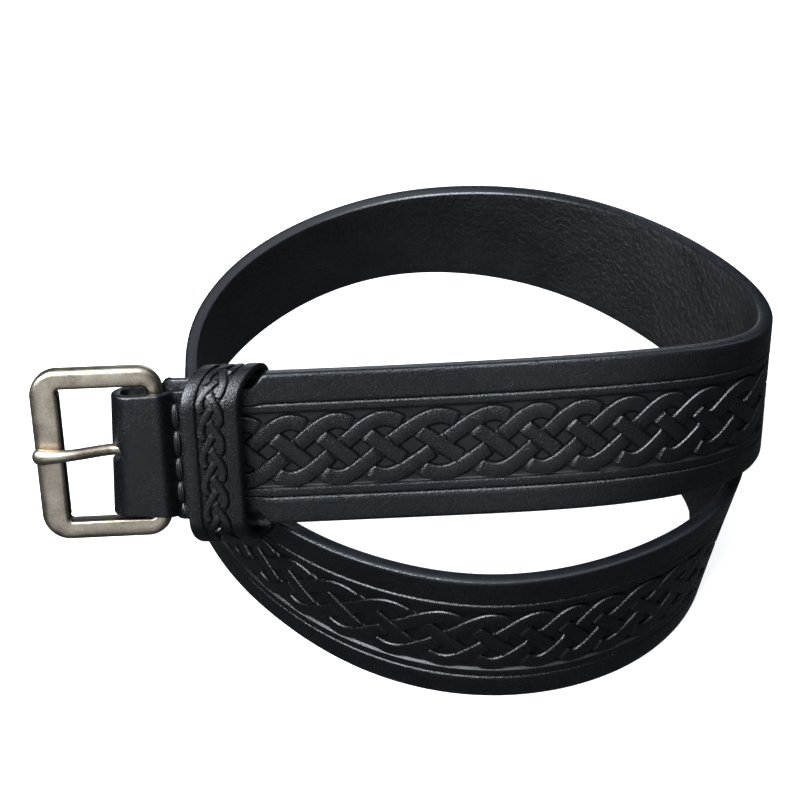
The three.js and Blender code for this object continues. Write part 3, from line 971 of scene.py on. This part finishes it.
def keeper_body():
    half = KEEPER_WIDTH / 2
    edge = KEEPER_PLAIT_HALF
    deep = KEEPER_PANEL_DEPTH
    profile = [(-half, 1.0), (-half + 0.15, 0.5), (-half + 0.5, 0.12), (-half + 1.0, 0)]
    profile += [(-edge - 0.3, 0), (-edge - 0.1, 0.1), (-edge + 0.1, deep - 0.08), (-edge + 0.3, deep)]
    profile += [(offset, deep) for offset in (-3.2, -1.6, 0)]
    profile += [(-offset, depth) for offset, depth in reversed(profile[:-1])]
    back = KEEPER_THICK
    profile += [(half, back - 0.7), (half - 0.3, back - 0.2), (half - 0.9, back)]
    profile += [(4, back), (-4, back), (-half + 0.9, back), (-half + 0.3, back - 0.2), (-half, back - 0.7)]
    girth = keeper_girth()
    round_length = np.linspace(0, girth, 181)[:-1]
    rings = np.stack([keeper_place(round_length, offset, depth) for offset, depth in profile], axis=1)
    bm = sleeve(rings, is_loop=True)
    for face in bm.faces:
        face.material_index = GRAIN
    return bm


def keeper_plait():
    """Three ribbons braided round the keeper."""
    whole = bmesh.new()
    girth = keeper_girth()
    length = np.linspace(0, girth, 420)[:-1]
    for strand in range(3):
        turn = 2 * math.pi * BRAID_WAVES * length / girth + strand * 2 * math.pi / 3
        across = BRAID_REACH * plait_wave(turn)
        depths = RIBBON_DIP * woven_depth(
            length, across, turn, BRAID_RIBBON_WIDTH, (math.pi / 6, 7 * math.pi / 6)
        )
        part = braid_ribbon(length, across, BRAID_RIBBON_WIDTH, depths, KEEPER_PANEL_DEPTH + 0.1)
        join_bodies(whole, part)
    return whole


def braid_ribbon(length, across, width, depths, floor):
    step = length[1] - length[0]
    slope = (np.roll(across, -1) - np.roll(across, 1)) / (2 * step)
    size = np.hypot(1, slope)
    side = -slope / size, 1 / size
    half = width / 2
    foot = floor - 0.15
    # The thin crease strip at the ribbon's feet and its walls take the near-black painted shade.
    section = [(-half - BRAID_CREASE_WIDTH - 0.05, floor), (-half - BRAID_CREASE_WIDTH, foot), (-half, foot)]
    section += [(-half + 0.04, 0.32), (-half + 0.36, 0.02), (-half + 0.5, -0.02)]
    section += [(-offset, depth) for offset, depth in reversed(section)]
    rings = []
    for offset, depth in section:
        under = np.minimum(depths + depth, floor) if depth < floor else np.full_like(depths, floor)
        rings.append(keeper_place(length + side[0] * offset, across + side[1] * offset, under))
    return sleeve(np.stack(rings, axis=1), is_loop=True, shade_rows=crease_shade_rows(section))


# Stitches

def stitches():
    """Four stitches of doubled waxed thread, each strand a twisted cord from pit to pit."""
    whole = bmesh.new()
    for upper, lower in zip(STITCH_HOLES, STITCH_HOLES[1:]):
        for offset, lift in ((-0.72, 0.0), (0.0, 0.28), (0.72, 0.05)):
            join_bodies(whole, thread_strand(upper, lower, offset, lift))
    return whole


def thread_strand(upper, lower, offset, lift):
    steps = 22
    share = np.linspace(0, 1, steps)
    height = mix(upper - 0.1, lower + 0.1, share)
    spread = np.sin(math.pi * share) ** 0.6
    along = STITCH_LINE + offset * spread
    depth = 1.7 - (1.75 + lift) * np.sin(math.pi * share) ** 0.5
    corner = np.radians(np.arange(0, 360, 36))
    radius = 0.5 * (1 + 0.13 * np.cos(3 * (corner[None] + 9 * share[:, None])))
    x = along[:, None] + radius * np.cos(corner)
    z = STRAP_THICK / 2 - depth[:, None] + radius * np.sin(corner)
    y = np.repeat(height[:, None], len(corner), axis=1)
    return sleeve(from_buckle_end(x, y, z))


# Buckle frame and tongue

def rounded_outline(left, right, top, radius, steps):
    corners = [(right, top, 0), (left, top, 90), (left, -top, 180), (right, -top, 270)]
    outline = []
    for x, y, start in corners:
        centre = x - math.copysign(radius, 1 if x == right else -1), y - math.copysign(radius, y)
        for share in np.linspace(0, 1, steps + 1):
            angle = math.radians(start + 90 * share)
            normal = np.array([math.cos(angle), math.sin(angle)])
            outline.append((centre[0] + radius * normal[0], centre[1] + radius * normal[1], normal, share))
    return outline


def bar_ring(x, y, normal, half, half_thick, squareness, sides=28):
    """A ring round a bar: a soft-cornered section lying across the outline."""
    angle = np.linspace(0, 2 * math.pi, sides, endpoint=False)
    power = 2 / squareness
    towards_window = np.where(np.cos(angle) < 0, 0.55 * power, power)
    flat = np.sign(np.cos(angle)) * np.abs(np.cos(angle)) ** towards_window * half
    deep = np.sign(np.sin(angle)) * np.abs(np.sin(angle)) ** power * half_thick
    return from_buckle_end(
        HEEL_OFFSET + x + normal[0] * flat, BUCKLE_LIFT + y + normal[1] * flat, BUCKLE_PLANE + deep
    )


def buckle_frame():
    left = -FRAME_LEFT - HEEL_OFFSET + FRONT_BAR_WIDTH / 2
    top = FRAME_OPENING_HALF + SIDE_BAR_WIDTH / 2
    bars = {
        "heel": (HEEL_RADIUS, HEEL_RADIUS, 2.0),
        "side": (SIDE_BAR_WIDTH / 2, FRAME_THICK / 2, 3.4),
        "front": (FRONT_BAR_WIDTH / 2, FRAME_THICK / 2, 3.8),
    }
    order = ["heel", "side", "front", "side", "heel"]
    steps = 12
    rings = []
    for index, (x, y, normal, share) in enumerate(rounded_outline(left, 0, top, FRAME_CORNER_RADIUS, steps)):
        corner = index // (steps + 1)
        start, end = bars[order[corner]], bars[order[corner + 1]]
        half, deep, squareness = (mix(a, b, share) for a, b in zip(start, end))
        rings.append(bar_ring(x, y, normal, half, deep, squareness))
    neck = TONGUE_EYE_WIDTH / 2 + TURN_GAP
    heel_way = np.array([1.0, 0.0])
    for offset, radius in (
        (-neck - TURN_GAP, HEEL_RADIUS), (-neck, HEEL_NECK_RADIUS),
        (neck, HEEL_NECK_RADIUS), (neck + TURN_GAP, HEEL_RADIUS),
    ):
        rings.append(bar_ring(0, TONGUE_PLACE + offset, heel_way, radius, radius, 2.0))
    bm = sleeve(np.array(rings), is_loop=True)
    mark_window_walls(bm, left / 2)
    return bm


def mark_window_walls(bm, middle):
    """Gives the walls round the buckle's window the darker nickel, which is painted shade."""
    window = from_buckle_end(HEEL_OFFSET + middle, BUCKLE_LIFT, BUCKLE_PLANE)
    for face in bm.faces:
        inward = window - np.array(face.calc_center_median())
        across, up = np.dot(inward, end_along), np.dot(inward, end_wide)
        nearer_side = end_along * np.sign(across) if abs(across) > abs(up) * 0.62 else end_wide * np.sign(up)
        # Faces turned into the window take painted shade.
        if np.dot(np.array(face.normal), nearer_side) > 0.72:
            face.material_index = 1


def tongue():
    rest = FRAME_THICK / 2 + SEAT_GAP + TONGUE_RADIUS
    front = -FRAME_LEFT - HEEL_OFFSET + FRONT_BAR_WIDTH / 2
    slot_edge = -HEEL_OFFSET
    knots = [
        (-HEEL_NECK_RADIUS - TURN_GAP - TONGUE_EYE_WALL / 2, 0, 1, 1), (slot_edge, 0, 1, 1),
        (mix(slot_edge, front, 0.2), 0.18 * rest, 1, 1), (mix(slot_edge, front, 0.4), 0.48 * rest, 1, 1),
        (mix(slot_edge, front, 0.6), 0.78 * rest, 1, 1), (mix(slot_edge, front, 0.8), 0.95 * rest, 1.08, 1),
        (front, rest, 1.25, 0.98), (front - FRONT_BAR_WIDTH * 0.22, 0.98 * rest, 1.38, 0.95),
        (front - FRONT_BAR_WIDTH * 0.38, 0.88 * rest, 1.3, 0.85),
        (front - FRONT_BAR_WIDTH * 0.46, 0.72 * rest, 0.9, 0.6),
    ]
    knots = np.array(knots)
    stops = np.arange(len(knots))
    fine = np.linspace(0, len(knots) - 1, 64)
    x, z, wide, thick = (smooth_through(fine, stops, knots[:, column]) for column in range(4))
    slope = np.arctan2(np.gradient(z), -np.gradient(x))
    angle = np.linspace(0, 2 * math.pi, 20, endpoint=False)
    up = TONGUE_RADIUS * thick[:, None] * np.sin(angle)
    across = TONGUE_RADIUS * wide[:, None] * np.cos(angle)
    shank = sleeve(from_buckle_end(
        HEEL_OFFSET + x[:, None] + up * np.sin(slope)[:, None],
        TONGUE_HEIGHT + across,
        BUCKLE_PLANE + z[:, None] + up * np.cos(slope)[:, None],
    ))
    join_bodies(shank, tongue_eye())
    return shank


def smooth_through(at, stops, values):
    """Values eased between stops, kept within their neighbours."""
    below = np.minimum(at.astype(int), len(stops) - 2)
    share = at - below
    slope = np.gradient(values)
    a, b = values[below], values[below + 1]
    da, db = slope[below], slope[below + 1]
    return (
        a * (1 + 2 * share) * (1 - share) ** 2 + da * share * (1 - share) ** 2
        + b * share ** 2 * (3 - 2 * share) + db * share ** 2 * (share - 1)
    )


def tongue_eye():
    inner = HEEL_NECK_RADIUS + TURN_GAP
    outer = inner + TONGUE_EYE_WALL
    half = TONGUE_EYE_WIDTH / 2
    section = [
        (inner, -half), (outer - 0.4, -half), (outer - 0.1, -half + 0.1), (outer, -half + 0.4),
        (outer, half - 0.4), (outer - 0.1, half - 0.1), (outer - 0.4, half), (inner, half),
    ]
    angle = np.linspace(0, 2 * math.pi, 40, endpoint=False)
    rings = np.stack([
        from_buckle_end(
            HEEL_OFFSET + radius * np.cos(angle),
            np.full(len(angle), TONGUE_HEIGHT + across),
            BUCKLE_PLANE + radius * np.sin(angle),
        ) for radius, across in section
    ], axis=1)
    return sleeve(rings, is_loop=True)


# Build

strap = make_piece("strap_leather", strap_body(), leathers, "belt")
punch_holes(strap)
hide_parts("strap")
# The plaits' second finish is painted shade at the ribbons' feet.
make_piece("strap_plait", strap_plait(), [grain, crease_shade], "belt", 24)
make_piece("fold_stitches", stitches(), [thread], "belt", 60)

keeper = make_piece("keeper_leather", keeper_body(), leathers, "belt")
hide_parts("keeper")
make_piece("keeper_plait", keeper_plait(), [grain, crease_shade], "belt", 24)

# The frame's second finish is painted shade on its window walls.
cast_frame = make_piece("cast_frame", buckle_frame(), [nickel, nickel_shade], "frame", 40)
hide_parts("buckle_frame")
cast_tongue = make_piece("cast_tongue", tongue(), [nickel], "tongue", 40)
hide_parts("tongue")


# Floor, light and camera

def studio():
    scene = bpy.context.scene
    floor_mesh = bmesh.new()
    bmesh.ops.create_grid(floor_mesh, x_segments=1, y_segments=1, size=4)
    mesh = bpy.data.meshes.new("floor")
    floor_mesh.to_mesh(mesh)
    floor_mesh.free()
    finish = Finish("pale_floor", roughness=1.0)
    finish.shader.inputs["Emission Strength"].default_value = 0.75
    mesh.materials.append(finish.wear(Base_Color=(0.7, 0.7, 0.7, 1), Emission_Color=(1, 1, 1, 1)))
    floor = bpy.data.objects.new("floor", mesh)
    floor.location.z = -0.0002
    floor.visible_glossy = False
    scene.collection.objects.link(floor)

    world = bpy.data.worlds.new("studio")
    world.use_nodes = True
    world.node_tree.nodes["Background"].inputs["Color"].default_value = (0.85, 0.92, 1, 1)
    world.node_tree.nodes["Background"].inputs["Strength"].default_value = 0.06
    scene.world = world

    for name, place, size, power in (
        ("overhead_fill", (0.0, 0.0, 1.5), 2.0, 20),
        ("key_softbox", (-0.5, -0.55, 0.92), 0.7, 42),
        ("back_softbox", (0.0, 1.4, 0.12), 0.7, 2.0),
        ("front_softbox", (0.15, -1.4, 0.35), 1.0, 0.8),
        ("front_left_softbox", (-0.25, -1.5, 0.1), 0.5, 1.5),
    ):
        light = bpy.data.lights.new(name, "AREA")
        light.size = size
        light.energy = power
        light.color = (0.86, 0.93, 1)
        lamp = bpy.data.objects.new(name, light)
        lamp.location = place
        aim = -lamp.location.normalized()
        lamp.rotation_euler = aim.to_track_quat("-Z", "Y").to_euler()
        scene.collection.objects.link(lamp)


def camera():
    target = to_metres([-32, 0, 0])
    distance, elevation = 0.66, math.radians(39)
    lens = bpy.data.cameras.new("photo_view")
    lens.sensor_width = 36
    lens.lens = 36 * 1405 / 800
    view = bpy.data.objects.new("photo_view", lens)
    view.location = target + distance * np.array([0, -math.cos(elevation), math.sin(elevation)])
    view.rotation_euler = (math.pi / 2 - elevation, 0, 0)
    bpy.context.scene.collection.objects.link(view)
    bpy.context.scene.camera = view


studio()
camera()
bpy.context.scene.view_settings.view_transform = "Standard"
